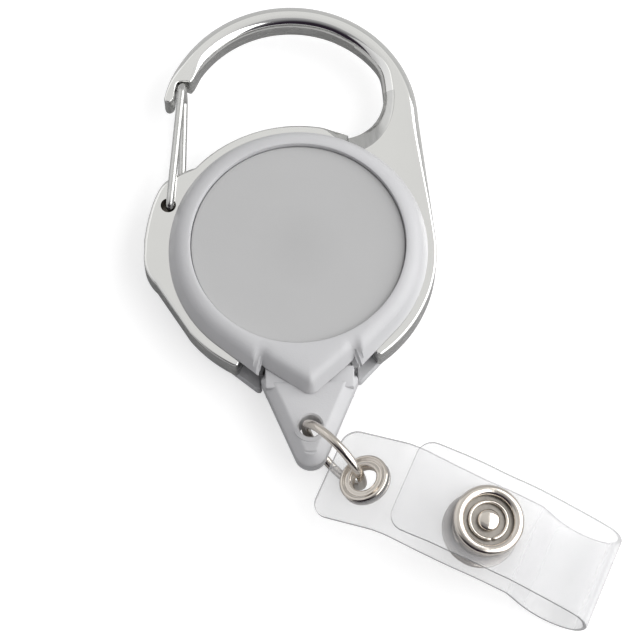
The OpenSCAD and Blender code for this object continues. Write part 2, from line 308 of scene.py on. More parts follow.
def skin(rings, cap_first=True, cap_last=True, closed=True):
    """A bmesh with a skin of quads over rings of points."""
    mesh = bmesh.new()
    rows = [[mesh.verts.new(p) for p in ring] for ring in rings]
    count = len(rows[0])
    for low, high in zip(rows, rows[1:]):
        for k in range(count if closed else count - 1):
            n = (k + 1) % count
            mesh.faces.new((low[k], low[n], high[n], high[k]))
    if cap_first:
        mesh.faces.new(rows[0][::-1])
    if cap_last:
        mesh.faces.new(rows[-1])
    return mesh


def lathe(profile, matrix=None, count=96, closed_profile=False):
    """A bmesh turned from a profile of (radius, height) points."""
    mesh = bmesh.new()
    rings = []
    for radius, z in profile:
        if radius < 1e-6:
            rings.append([mesh.verts.new((0, 0, z))])
            continue
        ring = []
        for k in range(count):
            turn = 2 * math.pi * k / count
            ring.append(mesh.verts.new((radius * math.cos(turn), radius * math.sin(turn), z)))
        rings.append(ring)
    pairs = list(zip(rings, rings[1:]))
    if closed_profile:
        pairs.append((rings[-1], rings[0]))
    for low, high in pairs:
        for k in range(count):
            n = (k + 1) % count
            if len(low) == 1:
                mesh.faces.new((low[0], high[n], high[k]))
            elif len(high) == 1:
                mesh.faces.new((low[k], low[n], high[0]))
            else:
                mesh.faces.new((low[k], low[n], high[n], high[k]))
    if matrix is not None:
        mesh.transform(matrix)
    bmesh.ops.recalc_face_normals(mesh, faces=mesh.faces)
    return mesh


def sweep(path, radius, sides=24, rounding=3):
    """A bmesh of a round wire along a path, with rounded ends."""
    path = [Vector(p) for p in path]
    centres, radii = [], []
    first = (path[0] - path[1]).normalized()
    last = (path[-1] - path[-2]).normalized()
    for i in range(rounding):
        turn = math.radians(90 * (i + 0.3) / rounding)
        centres.append(path[0] + first * radius * math.cos(turn))
        radii.append(radius * math.sin(turn))
    centres += path
    radii += [radius] * len(path)
    for i in reversed(range(rounding)):
        turn = math.radians(90 * (i + 0.3) / rounding)
        centres.append(path[-1] + last * radius * math.cos(turn))
        radii.append(radius * math.sin(turn))
    tangents = []
    for i, here in enumerate(centres):
        after = centres[min(i + 1, len(centres) - 1)]
        before = centres[max(i - 1, 0)]
        tangents.append((after - before).normalized())
    side = tangents[0].orthogonal().normalized()
    rings = []
    for i, here in enumerate(centres):
        if i:
            side = tangents[i - 1].rotation_difference(tangents[i]) @ side
        up = tangents[i].cross(side)
        turns = [2 * math.pi * k / sides for k in range(sides)]
        rings.append([here + radii[i] * (side * math.cos(t) + up * math.sin(t)) for t in turns])
    mesh = skin(rings)
    bmesh.ops.recalc_face_normals(mesh, faces=mesh.faces)
    return mesh


def soft_box(low, high, rounding=0.12):
    """A bmesh of a box with rounded edges."""
    mesh = bmesh.new()
    bmesh.ops.create_cube(mesh, size=1)
    low, high = Vector(low), Vector(high)
    for v in mesh.verts:
        v.co = Vector(low[k] + (v.co[k] + 0.5) * (high[k] - low[k]) for k in range(3))
    bmesh.ops.bevel(mesh, geom=mesh.edges[:], offset=rounding, segments=3, affect="EDGES", profile=0.5)
    return mesh


def joined(*parts):
    """One bmesh out of several."""
    whole = bmesh.new()
    for part in parts:
        piece = bpy.data.meshes.new("part")
        part.to_mesh(piece)
        part.free()
        whole.from_mesh(piece)
        bpy.data.meshes.remove(piece)
    return whole


def shaded(mesh):
    """Smooth shading with sharp edges where the surface turns."""
    mesh.polygons.foreach_set("use_smooth", [True] * len(mesh.polygons))
    mesh.set_sharp_from_angle(angle=SMOOTH_ANGLE)


def piece(name, shape, material):
    """An object from a bmesh in millimetres."""
    shape.transform(Matrix.Scale(MM, 4))
    mesh = bpy.data.meshes.new(name)
    shape.to_mesh(mesh)
    shape.free()
    shaded(mesh)
    obj = bpy.data.objects.new(name, mesh)
    bpy.context.scene.collection.objects.link(obj)
    mesh.materials.append(material)
    return obj


def cut(shape, *cutters):
    """Cuts bmeshes out of a bmesh, all in millimetres."""
    caps = [face for face in shape.faces if len(face.verts) > 4]
    bmesh.ops.triangulate(shape, faces=caps)
    objects = []
    for i, part in enumerate((shape, *cutters)):
        bmesh.ops.recalc_face_normals(part, faces=part.faces)
        mesh = bpy.data.meshes.new(f"cutting_{i}")
        part.to_mesh(mesh)
        part.free()
        obj = bpy.data.objects.new(f"cutting_{i}", mesh)
        bpy.context.scene.collection.objects.link(obj)
        objects.append(obj)
    for tool in objects[1:]:
        modifier = objects[0].modifiers.new("cut", "BOOLEAN")
        modifier.operation = "DIFFERENCE"
        modifier.solver = "MANIFOLD"
        modifier.object = tool
    graph = bpy.context.evaluated_depsgraph_get()
    mesh = bpy.data.meshes.new_from_object(objects[0].evaluated_get(graph))
    result = bmesh.new()
    result.from_mesh(mesh)
    bpy.data.meshes.remove(mesh)
    for obj in objects:
        mesh = obj.data
        bpy.data.objects.remove(obj)
        bpy.data.meshes.remove(mesh)
    if len(result.faces) < 100:
        raise RuntimeError("a cut left no shape")
    return result


def placed(obj, body, slot, *nodes):
    """Lets an object ride on a body and stand for its CAD nodes."""
    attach(obj, body)
    if nodes:
        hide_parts(*nodes)
    return obj


# ---------------------------------------------------------------- materials


class Finish:
    """A material with one Principled shader, and short ways to add nodes to it."""

    def __init__(self, name, base, roughness, metallic=0.0, **inputs):
        self.material = bpy.data.materials.new(name)
        self.material.use_nodes = True
        self.tree = self.material.node_tree
        self.shader = self.tree.nodes["Principled BSDF"]
        self.output = self.tree.nodes["Material Output"]
        self.set("Base Color", (*base, 1))
        self.set("Roughness", roughness)
        self.set("Metallic", metallic)
        for key, value in inputs.items():
            self.set(key.replace("_", " "), value)
        self.place = self.add("ShaderNodeTexCoord").outputs["Object"]

    def set(self, socket, value):
        """Sets a number or colour on the shader's own socket."""
        self.shader.inputs[socket].default_value = value

    def add(self, kind, **values):
        """Adds a node and sets its inputs and its own values."""
        node = self.tree.nodes.new(kind)
        for key, value in values.items():
            name = key.replace("_", " ").title()
            if name in node.inputs:
                node.inputs[name].default_value = value
            else:
                setattr(node, key, value)
        return node

    def link(self, source, target):
        """Joins two sockets."""
        self.tree.links.new(source, target)

    def noise(self, scale, detail=4.0, stretch=None):
        """Noise over the object, with scale in waves a metre."""
        node = self.add("ShaderNodeTexNoise", scale=scale, detail=detail)
        source = self.place
        if stretch is not None:
            mapping = self.add("ShaderNodeMapping")
            mapping.inputs["Scale"].default_value = stretch
            self.link(source, mapping.inputs["Vector"])
            source = mapping.outputs["Vector"]
        self.link(source, node.inputs["Vector"])
        return node.outputs["Fac"]

    def ramp(self, source, stops):
        """A colour ramp: stops are (place, colour)."""
        node = self.add("ShaderNodeValToRGB")
        while len(node.color_ramp.elements) < len(stops):
            node.color_ramp.elements.new(0.5)
        for element, (place, value) in zip(node.color_ramp.elements, stops):
            element.position = place
            element.color = (*value, 1) if hasattr(value, "__len__") else (value, value, value, 1)
        self.link(source, node.inputs["Fac"])
        return node.outputs["Color"]

    def spread(self, source, low, high):
        """Maps noise between 0.3 and 0.7 onto low to high."""
        node = self.add("ShaderNodeMapRange")
        node.inputs["From Min"].default_value = 0.3
        node.inputs["From Max"].default_value = 0.7
        node.inputs["To Min"].default_value = low
        node.inputs["To Max"].default_value = high
        self.link(source, node.inputs["Value"])
        return node.outputs["Result"]

    def mottle(self, source, base, low, high):
        """Colours the surface from a darker to a lighter tint of the base by a noise."""
        stops = [(0.3, tinted(base, low)), (0.7, tinted(base, high))]
        self.link(self.ramp(source, stops), self.shader.inputs["Base Color"])

    def gloss(self, source, low, high):
        """Lets the roughness wander between two values by a noise."""
        self.link(self.spread(source, low, high), self.shader.inputs["Roughness"])

    def bump(self, source, height, strength=1.0):
        """Bump from a height in metres."""
        node = self.add("ShaderNodeBump", distance=height, strength=strength)
        self.link(source, node.inputs["Height"])
        self.link(node.outputs["Normal"], self.shader.inputs["Normal"])
        return node


def tinted(base, amount):
    """A colour made lighter or darker by an amount."""
    return tuple(min(1.0, max(0.0, c * (1 + amount))) for c in base)


def chrome_finish():
    """Bright plating with faint casting waves and hairline wear."""
    base = tuple(settings().finish.chrome)
    finish = Finish("chrome", base, 0.07, 1.0)
    cloud = finish.noise(90, 3)
    finish.mottle(cloud, base, -0.02, 0.02)
    hair = finish.noise(900, 2, (1, 14, 1))
    finish.gloss(hair, 0.05, 0.1)
    finish.bump(finish.noise(160, 2), 0.00004)
    return finish.material


def painted_shade_wall_finish():
    """The same plating on the casting's side walls, rougher than the flats, with its base colour darkened as
    painted shade.
    """
    base = tinted(tuple(settings().finish.chrome), -0.5)
    finish = Finish("chrome_wall_painted_shade", base, 0.25, 1.0)
    grain = finish.noise(500, 4, (1, 1, 3))
    finish.mottle(grain, base, -0.12, 0.1)
    finish.gloss(grain, 0.18, 0.34)
    finish.bump(grain, 0.00003)
    return finish.material


def painted_reflection_slope_finish():
    """The slope where the loop meets the reel, rougher than the flat faces, with its base colour darkened as a
    painted reflection.
    """
    base = tinted(tuple(settings().finish.chrome), -0.22)
    finish = Finish("chrome_slope_painted_reflection", base, 0.2, 1.0)
    grain = finish.noise(700, 3, (3, 1, 1))
    finish.mottle(grain, base, -0.05, 0.05)
    finish.gloss(grain, 0.16, 0.26)
    return finish.material


def painted_shade_wire_finish():
    """Plating on the drawn wire of the gate, with faint drawing lines, rougher than the flats and with its base
    colour darkened as painted shade.
    """
    base = tinted(tuple(settings().finish.chrome), -0.28)
    finish = Finish("chrome_wire_painted_shade", base, 0.24, 1.0)
    grain = finish.noise(900, 3, (4, 1, 4))
    finish.mottle(grain, base, -0.08, 0.06)
    finish.gloss(grain, 0.18, 0.32)
    return finish.material


def nickel_finish():
    """Warm nickel plating, a little softer than chrome."""
    base = tuple(settings().finish.nickel)
    finish = Finish("nickel", base, 0.16, 1.0)
    cloud = finish.noise(400, 3)
    finish.mottle(cloud, base, -0.05, 0.04)
    finish.gloss(finish.noise(1500, 3), 0.11, 0.21)
    finish.bump(finish.noise(600, 2), 0.00003)
    return finish.material


def painted_shade_recess_finish():
    """Dull nickel with its base colour darkened as painted shade, for the snap's groove and the gate's bores.
    """
    base = tinted(tuple(settings().finish.nickel), -0.62)
    finish = Finish("nickel_painted_shade", base, 0.42, 1.0)
    cloud = finish.noise(1200, 3)
    finish.mottle(cloud, base, -0.2, 0.2)
    finish.gloss(cloud, 0.34, 0.5)
    finish.bump(cloud, 0.00003)
    return finish.material


def steel_finish():
    """Drawn spring steel."""
    base = tuple(settings().finish.steel)
    finish = Finish("steel", base, 0.28, 1.0)
    grain = finish.noise(1200, 4, (1, 1, 12))
    finish.gloss(grain, 0.2, 0.36)
    finish.mottle(grain, base, -0.1, 0.08)
    finish.bump(grain, 0.00002)
    return finish.material


def moulded(name, base, roughness, mottle=0.02, grain=0.00002):
    """Satin moulded plastic: a fine texture, slow colour drift and uneven gloss."""
    finish = Finish(name, base, roughness, 0.0)
    drift = finish.noise(110, 4)
    finish.mottle(drift, base, -mottle, mottle)
    finish.gloss(finish.noise(700, 3), roughness - 0.06, roughness + 0.06)
    finish.bump(finish.noise(5200, 3), grain)
    return finish


def case_finish():
    """Satin grey plastic of the covers and the cord end."""
    return moulded("case_plastic", tuple(settings().finish.case), 0.36).material


def spool_finish():
    """Pale plastic of the spool."""
    return moulded("spool_plastic", tuple(settings().finish.spool), 0.5).material


def label_finish():
    """Plain printed disc, with painted shade that makes it darker in the middle."""
    base = tuple(settings().finish.label)
    finish = moulded("label", base, 0.5, 0.012, 0.00001)
    # A spherical gradient makes the middle up to 6% darker: painted shade.
    gradient = finish.add("ShaderNodeTexGradient", gradient_type="SPHERICAL")
    mapping = finish.add("ShaderNodeMapping")
    mapping.inputs["Scale"].default_value = (75, 75, 1)
    finish.link(finish.place, mapping.inputs["Vector"])
    finish.link(mapping.outputs["Vector"], gradient.inputs["Vector"])
    shade = finish.ramp(gradient.outputs["Fac"], [(0.0, 1.0), (0.55, 1.0), (1.0, 0.94)])
    mix = finish.add("ShaderNodeMix", data_type="RGBA", blend_type="MULTIPLY")
    mix.inputs["Factor"].default_value = 1.0
    source = finish.shader.inputs["Base Color"].links[0].from_socket
    finish.link(source, mix.inputs[6])
    finish.link(shade, mix.inputs[7])
    finish.link(mix.outputs[2], finish.shader.inputs["Base Color"])
    return finish.material


def cord_finish():
    """Braided nylon: strands that cross over each other."""
    base = tuple(settings().finish.cord)
    finish = Finish("cord", base, 0.7, 0.0, Sheen_Weight=0.3, Sheen_Roughness=0.4)
    weave = []
    for direction in ((1, 1, 0), (1, -1, 0)):
        mapping = finish.add("ShaderNodeMapping")
        mapping.inputs["Rotation"].default_value = (0, 0, math.radians(45 * direction[1]))
        wave = finish.add("ShaderNodeTexWave", scale=900, distortion=0.5)
        finish.link(finish.place, mapping.inputs["Vector"])
        finish.link(mapping.outputs["Vector"], wave.inputs["Vector"])
        weave.append(wave.outputs["Fac"])
    mix = finish.add("ShaderNodeMath", operation="MAXIMUM")
    finish.link(weave[0], mix.inputs[0])
    finish.link(weave[1], mix.inputs[1])
    stops = [(0.2, tinted(base, -0.25)), (0.8, base)]
    finish.link(finish.ramp(mix.outputs["Value"], stops), finish.shader.inputs["Base Color"])
    finish.bump(mix.outputs["Value"], 0.00006)
    return finish.material


def vinyl_finish(name, clear, shade, roughness):
    """Clear soft vinyl: light goes straight through it, and its gloss grows at a slant."""
    base = tuple(settings().finish.vinyl)
    finish = Finish(name, tinted(base, shade), roughness, 0.0, IOR=1.5)
    ripple = finish.noise(260, 2, (1, 2, 1))
    finish.bump(ripple, 0.00008)
    finish.gloss(finish.noise(900, 3), roughness * 0.7, roughness * 1.4)
    facing = finish.add("ShaderNodeLayerWeight", blend=0.35)
    amount = finish.add("ShaderNodeMapRange")
    amount.inputs["To Min"].default_value = 1 - clear
    amount.inputs["To Max"].default_value = min(1.0, 1.9 - 1.5 * clear)
    finish.link(facing.outputs["Facing"], amount.inputs["Value"])
    finish.link(amount.outputs["Result"], finish.shader.inputs["Alpha"])
    return finish.material


MATERIALS = {}


def material(name):
    """The finish of that name, made once."""
    makers = {
        "chrome": chrome_finish,
        "chrome_wall_painted_shade": painted_shade_wall_finish,
        "chrome_slope_painted_reflection": painted_reflection_slope_finish,
        "chrome_wire_painted_shade": painted_shade_wire_finish,
        "nickel": nickel_finish,
        "nickel_painted_shade": painted_shade_recess_finish,
        "steel": steel_finish,
        "case_plastic": case_finish,
        "spool_plastic": spool_finish,
        "label": label_finish,
        "cord": cord_finish,
        "vinyl": lambda: vinyl_finish("vinyl", 0.8, -0.1, 0.09),
        # The edge finish is darker and less clear: painted shade on the strap's cut edges.
        "vinyl_edge_painted_shade": lambda: vinyl_finish("vinyl_edge_painted_shade", 0.4, -0.62, 0.2),
    }
    if name not in MATERIALS:
        MATERIALS[name] = makers[name]()
    return MATERIALS[name]


# ---------------------------------------------------------------- heights and shared shapes

CASE_BACK = 0.0
FRAME_LOW = 2.7
FRAME_HIGH = 6.2
COVER_LOW = 6.25
COVER_HIGH = 8.9
CORD_HEIGHT = 4.45
CHAMBER = 13.6
SKIRT = 14.2
LABEL_FLOOR = 7.8
ROOF = 7.0
BEAK_TURN = 43.2
SHOULDER_Y = 17.2
DOCK_HALF = 6.08
DOCK_FAR = -20.1
STRAP_TURN = math.radians(-28)
EYELET_PLACE = (5.4, -30.5)
SNAP_TILT = math.radians(10)
LOOP_CENTRE = (0.4, 18.0)
SHOULDER_CENTRE = (6.9, 20.9)
SHOULDER_RADIUS = 5.6
BAND_RADIUS = 17.1
BAND_INSIDE = 14.4
GATE_BORES = ((-15.6, 7.4), (-13.8, 9.7))
GATE_BORE_RADIUS = 0.95
GATE_BORE_DEPTH = 1.6
WALL_LIMIT = 0.16
SLOPE_LIMIT = 0.97
TIP_HOLE_Y = -23.1
TIP_FACE = 2.05
RING_CENTRE = (2.132, -26.751, 5.5)
RING_RADIUS = 4.9
RING_TURN = math.radians(-51)


def moved(path, matrix):
    """A path of points moved by a matrix."""
    return [tuple(matrix @ Vector(p)) for p in path]


def block(low, high):
    """A plain box, used only for cutting."""
    return soft_box(low, high, 0.03)


def drill(centre, radius, low, high, count=48):
    """A round cutter along Z."""
    profile = [(0, low), (radius, low), (radius, high), (0, high)]
    return lathe(profile, Matrix.Translation((centre[0], centre[1], 0)), count)


def kept(node, name):
    """Gives a CAD node that stays as it is a procedural finish."""
    obj = bpy.data.objects[node]
    if not obj.material_slots:
        obj.data.materials.append(material(name))
    for slot in obj.material_slots:
        slot.material = material(name)


# ---------------------------------------------------------------- carabiner


def frame_stations():
    """Outline of the frame, counter-clockwise, as (x, y, bevel width, share of the straight slope)."""
    carabiner = settings().carabiner
    loop = carabiner.loop_radius / MM
    inside = loop - carabiner.band_width / MM
    edge = carabiner.edge_radius / MM
    inner = carabiner.inner_radius / MM
    slope = carabiner.chamfer_width / MM
    centre = LOOP_CENTRE
    shoulder = SHOULDER_CENTRE
    stations = []

    def run(points, width, end_width=None, share=0.0, end_share=None):
        """Adds stations whose bevel width and share of slope turn smoothly into the end values."""
        end_width = width if end_width is None else end_width
        end_share = share if end_share is None else end_share
        last = max(1, len(points) - 1)
        for i, p in enumerate(points):
            t = i / last
            t = t * t * (3 - 2 * t)
            stations.append((p[0], p[1], width + (end_width - width) * t, share + (end_share - share) * t))

    def bend(radius, turn, before, after):
        """A rounded corner of an arm's end: the arm's edge turns through it from before to after."""
        a, corner, b = (arc((0, 0), r, t, t + 1, 1)[0] for r, t in (before, (radius, turn), after))
        return bent(a, corner, b, 6)

    run(arc((0, 0), BAND_RADIUS, -57.4, -3, 48), 0.3)
    run(spaced([(17.07, 0.6), (16.55, 17.0)], 1.0, closed=False), 0.3, edge)
    run(arc(centre, loop, 0, 138, 100), edge)
    run(arc(centre, loop, 139.4, 163.5, 18), edge, 0.25)
    nose = [(-15.2, 22.3), (-15.1, 21.8), (-14.6, 21.55), (-14.0, 21.9), (-13.45, 24.3), (-12.2, 24.4),
            (-11.75, 24.1), arc(centre, inside, 150.5, 150, 1)[0]]
    run(rounded(nose, 0.35, closed=False), 0.2)
    run(arc(centre, inside, 149.5, 134, 12), 0.2, inner)
    run(arc(centre, inside, 132.5, 62, 50), inner)
    join = arc(centre, inside, 61, 24, 28) + arc(shoulder, SHOULDER_RADIUS, 10, -4, 6)
    join = relaxed(join, 12)
    run(join, inner, 1.4, 0.0, 0.35)
    run(arc(shoulder, SHOULDER_RADIUS, -6, -83.3, 48), 1.4, slope, 0.35, 1.0)
    run(arc((0, 0), BAND_RADIUS, 63.85, 64.4, 1), 1.3, share=1.0)
    run(arc((0, 0), BAND_RADIUS, 65, 76, 12), 1.3, 0.3, 1.0, 0.0)
    run(arc((0, 0), BAND_RADIUS, 77, 134, 46), 0.3)
    ear = [(-12.6, 12.2), (-14.3, 11.6), (-15.7, 10.9), (-16.6, 9.9), (-17.6, 7.9), (-18.4, 5.4),
           (-18.9, 3.1)]
    run(spaced(rounded(ear, 1.2, closed=False), 0.4, closed=False), 0.5)
    run(arc((-13.8, 0.5), 5.3, 169, 222, 24), 0.4)
    run(arc((0, 0), BAND_RADIUS, 214.5, 237, 20), 0.25)
    run(bend(BAND_RADIUS, 239.5, (BAND_RADIUS, 237.8), (16.6, 239.5)), 0.25, 0.2)
    run(bend(BAND_INSIDE, 239.5, (14.75, 239.5), (BAND_INSIDE, 238.1)), 0.12)
    run(arc((0, 0), BAND_INSIDE, 237, -57, 220), 0.12)
    run(bend(BAND_INSIDE, -59.5, (BAND_INSIDE, -58.1), (14.75, -59.5)), 0.12)
    run(bend(BAND_RADIUS, -59.5, (16.6, -59.5), (BAND_RADIUS, -57.8)), 0.2, 0.25)
    return stations


def bevelled(stations, low, high, steps=7, back_limit=0.6):
    """A flat casting from an outline, with its own bevel width and slope at each station."""
    stations = np.array(stations, float)
    keep = np.linalg.norm(stations[:, :2] - np.roll(stations[:, :2], 1, axis=0), axis=1) > 0.004
    stations = stations[keep]
    line = stations[:, :2]
    tangent = np.roll(line, -1, axis=0) - np.roll(line, 1, axis=0)
    tangent /= np.linalg.norm(tangent, axis=1)[:, None]
    inward = np.column_stack([-tangent[:, 1], tangent[:, 0]])
    share = stations[:, 3]

    def side(limit, share, base, direction):
        width = np.minimum(stations[:, 2], limit)
        depth = width * (1 - 0.5 * share)
        rings = []
        for k in range(steps + 1):
            t = k / steps
            turn = math.radians(90 * t)
            inset = width * ((1 - share) * (1 - math.cos(turn)) + share * t)
            drop = depth * ((1 - share) * (1 - math.sin(turn)) + share * (1 - t))
            rings.append(np.column_stack([line + inward * inset[:, None], base - direction * drop]))
        flat = width + 0.05
        rings.append(np.column_stack([line + inward * flat[:, None], np.full(len(line), base)]))
        return rings

    front = side(9, share, high, 1)
    back = side(back_limit, share * 0, low, -1)
    shape = skin(back[::-1] + front)
    bmesh.ops.recalc_face_normals(shape, faces=shape.faces)
    return shape


def build_carabiner_frame():
    """The cast frame: a C round the reel, the open loop, the nose and the ear with the gate's holes."""
    shape = bevelled(frame_stations(), FRAME_LOW, FRAME_HIGH)
    front, back = GATE_BORES
    shape = cut(
        shape,
        drill(front, GATE_BORE_RADIUS, FRAME_HIGH - GATE_BORE_DEPTH, FRAME_HIGH + 1),
        drill(back, GATE_BORE_RADIUS, FRAME_LOW - 1, FRAME_LOW + GATE_BORE_DEPTH),
    )
    obj = piece("carabiner_casting", shape, material("chrome"))
    wall, recess, slope = 1, 2, 3
    for name in ("chrome_wall_painted_shade", "nickel_painted_shade", "chrome_slope_painted_reflection"):
        obj.data.materials.append(material(name))
    bores = [Vector(bore) * MM for bore in GATE_BORES]
    bore_reach = (GATE_BORE_RADIUS + 0.02) * MM
    shoulder = Vector(SHOULDER_CENTRE) * MM
    shoulder_reach = (SHOULDER_RADIUS + 2.9) * MM
    for polygon in obj.data.polygons:
        place = polygon.center.xy
        near_shoulder = place.y < shoulder.y and (place - shoulder).length < shoulder_reach
        corners = [obj.data.vertices[i].co.xy for i in polygon.vertices]
        # Faces in the gate's bores take the dark recess finish, which is painted shade.
        if any(max((corner - bore).length for corner in corners) < bore_reach for bore in bores):
            polygon.material_index = recess
        # Side walls take the darker wall finish, which is painted shade.
        elif abs(polygon.normal.z) < WALL_LIMIT:
            polygon.material_index = wall
        # The slope at the shoulder takes the darker slope finish, which is a painted reflection.
        elif near_shoulder and WALL_LIMIT < polygon.normal.z < SLOPE_LIMIT:
            polygon.material_index = slope
    return placed(obj, "case", "chrome", "carabiner_frame")


def build_gate_wire():
    """The gate: one bent wire with a foot in each of the two holes."""
    front, back, top = (-15.4, 7.2), (-14.0, 9.9), (-12.75, 23.65)
    high, low, foot = 6.825, 2.075, 1.4
    corners = [
        (*front, high - foot),
        (*front, high),
        (*top, high),
        (*top, low),
        (*back, low),
        (*back, low + foot),
    ]
    path = spaced(rounded(corners, 1.25, closed=False, count=10), 0.8, closed=False)
    shape = sweep(path, settings().carabiner.wire_diameter / MM / 2, 24)
    # The wire's darker base colour is painted shade.
    obj = piece("gate_bail", shape, material("chrome_wire_painted_shade"))
    return placed(obj, "gate", "chrome", "gate_wire")


# ---------------------------------------------------------------- case


def teardrop(radius, lip=0.0):
    """Outline of a cover: a circle with two straight sides, two notches and a beak."""
    body = arc((0, 0), radius, -90 + BEAK_TURN, 270 - BEAK_TURN, 260)
    beak = arc((0, -17.8), 1.4, 225, 315, 12)
    left = [(-6.1, -16.22), (-5.8, -14.9), (-5.2, -15.5)]
    corners = [body[-1]] + left + [beak[0]]
    line = body[:-1] + rounded(corners, 0.22, closed=False)[:-1] + beak
    line += [(-x, y) for x, y in rounded(corners, 0.22, closed=False)[::-1][1:-1]]
    line = np.array(spaced(line, 0.3))
    if lip:
        tangent = np.roll(line, -1, axis=0) - np.roll(line, 1, axis=0)
        tangent /= np.linalg.norm(tangent, axis=1)[:, None]
        outward = np.column_stack([tangent[:, 1], -tangent[:, 0]])
        side = np.abs(line[:, 0])
        share = np.clip((9.3 - side) / 0.2, 0, 1) * np.clip((side - 6.0) / 0.1, 0, 1) * (line[:, 1] < -12)
        line = line + outward * (lip * share)[:, None]
    return line


def facing_circle(line, radius):
    """Points of a circle that face the points of an outline, in order round it."""
    turns = np.unwrap(np.arctan2(line[:, 1], line[:, 0]))
    ends = np.concatenate([turns[-12:] - 2 * math.pi, turns, turns[:12] + 2 * math.pi])
    kernel = np.hanning(15)[1:-1]
    kernel /= kernel.sum()
    smooth = np.convolve(ends, kernel, "same")[12:-12]
    return np.column_stack([np.cos(smooth), np.sin(smooth)]) * radius


def build_front_cover():
    """The front cover: a leaning wall, a domed ring round the label's recess, and the skirt inside."""
    case = settings().case
    wall = case.diameter / MM / 2
    rim = case.rim_width / MM
    lean = case.wall_lean / MM
    recess = case.label_diameter / MM / 2
    floor = COVER_HIGH - case.label_depth / MM
    outline = teardrop(wall)
    distances = [0.0, lean * 0.5, lean, lean + 0.12, lean + 0.3, 1.35, 1.8, rim - 0.1]
    heights = [COVER_LOW + 0.12, 7.1, 7.88, 8.07, 8.27, 8.6, 8.8, COVER_HIGH]
    lines = inner_lines(outline, facing_circle(outline, recess + 0.3), distances)
    beak_heights = [COVER_LOW + 0.12, 7.25, 8.0, 8.22, 8.46, 8.74, 8.84, COVER_HIGH]
    turn = np.degrees(np.abs(np.arctan2(outline[:, 0], -outline[:, 1])))
    share = np.clip((25 - turn) / 9, 0, 1)
    share = share * share * (3 - 2 * share)
    rings = [at_height(line, z + share * (beak - z)) for line, z, beak in zip(lines, heights, beak_heights)]
    skirt_foot = 2.75
    under = [(SKIRT + 0.05, COVER_LOW), (SKIRT, COVER_LOW - 0.05), (SKIRT, skirt_foot), (CHAMBER, skirt_foot),
             (CHAMBER, ROOF)]
    below = [at_height(facing_circle(outline, r), z) for r, z in under]
    edge = [at_height(lines[0] * 0.994, COVER_LOW)]
    inside = [(recess + 0.18, COVER_HIGH), (recess + 0.06, 8.86), (recess, 8.76), (recess, floor + 0.05),
              (recess - 0.05, floor), (recess - 0.3, floor)]
    above = [at_height(facing_circle(outline, r), z) for r, z in inside]
    inner_cap = [at_height(facing_circle(outline, CHAMBER - 0.3), ROOF)]
    shape = skin(inner_cap + below[::-1] + edge + rings + above)
    bmesh.ops.recalc_face_normals(shape, faces=shape.faces)
    cord_way = block((-3, -17, 3.25), (6, -11, 5.65))
    dock = block((-DOCK_HALF, DOCK_FAR, 2.0), (DOCK_HALF, -14.8, 6.6))
    shape = cut(shape, cord_way, dock)
    obj = piece("front_shell", shape, material("case_plastic"))
    return placed(obj, "case", "case_plastic", "front_cover")


def build_label():
    """The plain disc in the recess."""
    radius = settings().case.label_diameter / MM / 2 - 0.1
    low, high = LABEL_FLOOR + 0.02, LABEL_FLOOR + 0.42
    profile = [(0, low), (radius - 0.1, low), (radius, low + 0.08), (radius, high - 0.09),
               (radius - 0.04, high - 0.02), (radius - 0.1, high), (radius - 0.3, high), (radius * 0.6, high),
               (0, high)]
    obj = piece("label_insert", lathe(profile, count=160), material("label"))
    return placed(obj, "case", "label", "label_disc")


def build_rear_cover():
    """The back cover: a tray with a rounded edge and a lip that shows between the arms of the frame."""
    wall = settings().case.diameter / MM / 2
    plain = teardrop(wall)
    lipped = teardrop(wall, 0.4)
    distances = [0.0, 0.16, 0.55]
    lines = inner_lines(plain, facing_circle(plain, CHAMBER), distances)
    rings = [
        at_height(facing_circle(plain, CHAMBER - 1), CASE_BACK),
        at_height(lines[2] * 0.999, CASE_BACK),
        at_height(lines[2], CASE_BACK),
        at_height(lines[1], 0.16),
        at_height(lines[0], 0.55),
        at_height(lines[0], 1.15),
        at_height(lipped, 1.25),
        at_height(lipped, 2.5),
        at_height(lipped * 0.994, 2.65),
        at_height(facing_circle(plain, CHAMBER + 0.1), 2.65),
        at_height(facing_circle(plain, CHAMBER), 2.55),
        at_height(facing_circle(plain, CHAMBER), 1.2),
        at_height(facing_circle(plain, CHAMBER - 0.3), 1.2),
    ]
    shape = skin(rings)
    bmesh.ops.recalc_face_normals(shape, faces=shape.faces)
    shape = cut(shape, block((-DOCK_HALF, DOCK_FAR, 2.3), (DOCK_HALF, -14.7, 12)))
    obj = piece("rear_shell", shape, material("case_plastic"))
    return placed(obj, "case", "case_plastic", "rear_cover")


# ---------------------------------------------------------------- inner works


def build_spool_works():
    """The spool, its axle, the washer and the mainspring inside the case."""
    kept("spool", "spool_plastic")
    for node in ("spool_axle", "spring_washer", "mainspring"):
        kept(node, "steel")


